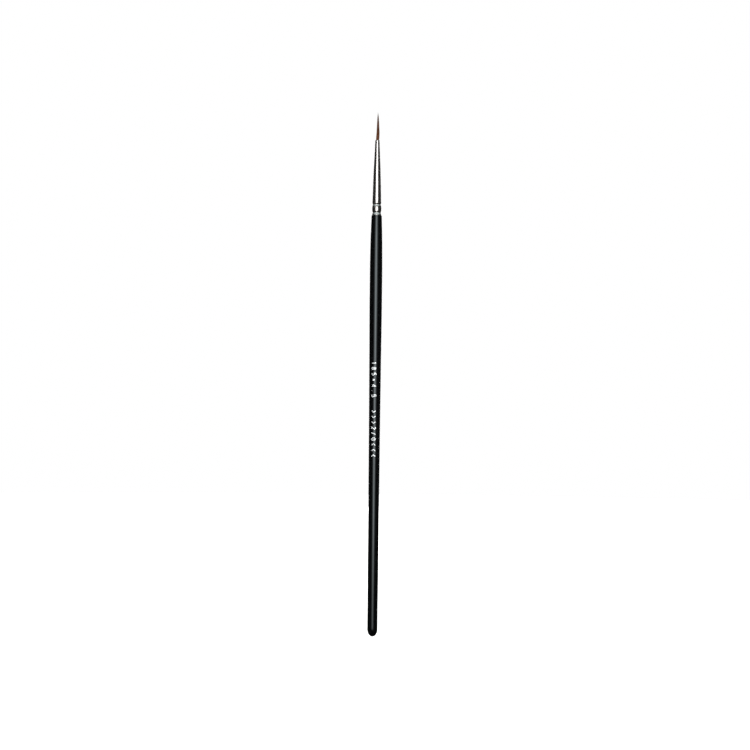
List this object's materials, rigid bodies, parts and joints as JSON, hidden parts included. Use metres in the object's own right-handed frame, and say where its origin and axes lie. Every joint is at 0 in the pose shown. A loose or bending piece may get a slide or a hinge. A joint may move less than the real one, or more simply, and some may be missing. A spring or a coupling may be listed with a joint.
{
  "type": "fine detail brush",
  "caption": "Slender artist's and modeller's brush: lacquered wooden handle, crimped nickel-plated ferrule and a short tuft tapering to a fine point that flexes when pressed.",
  "frame": {"origin": "on the brush's axis at the middle of the grip, the thickest straight stretch of the handle", "axes": "+Z along the brush towards the point of the tuft; the brush is round about Z; +X is the side that the printed marks' letter tops face, and -Y is the side that shows the marks"},
  "size_m": [0.0044, 0.0044, 0.185],
  "materials": {
    "handle_core": "turned and sanded hardwood",
    "handle_lacquer": "dipped gloss black lacquer",
    "ferrule": "seamless drawn tube, bright nickel plate",
    "tenon_glue": "set glue, amber",
    "root_epoxy": "set epoxy, amber",
    "binding_thread": "waxed thread",
    "tuft": "fine reddish-brown hair, clear to tan at the edges"
  },
  "bodies": {
    "handle": {"handle_core": "handle_core", "handle_lacquer": "handle_lacquer", "ferrule": "ferrule", "tenon_glue": "tenon_glue", "root_epoxy": "root_epoxy", "binding_thread": "binding_thread", "tuft_root": "tuft"},
    "belly": {"tuft_belly": "tuft"},
    "point": {"tuft_point": "tuft"}
  },
  "joints": [
    {"name": "tuft_bend", "type": "hinge", "parent": "handle", "child": "belly", "pos_m": [0, 0, 0.05262], "axis": [0, 1, 0], "range_deg": [-45, 45], "stiffness_Nm_per_rad": 0.00015},
    {"name": "point_bend", "type": "hinge", "parent": "belly", "child": "point", "pos_m": [0, 0, 0.05602], "axis": [1, 0, 0], "range_deg": [-45, 45], "stiffness_Nm_per_rad": 0.00004}
  ]
}
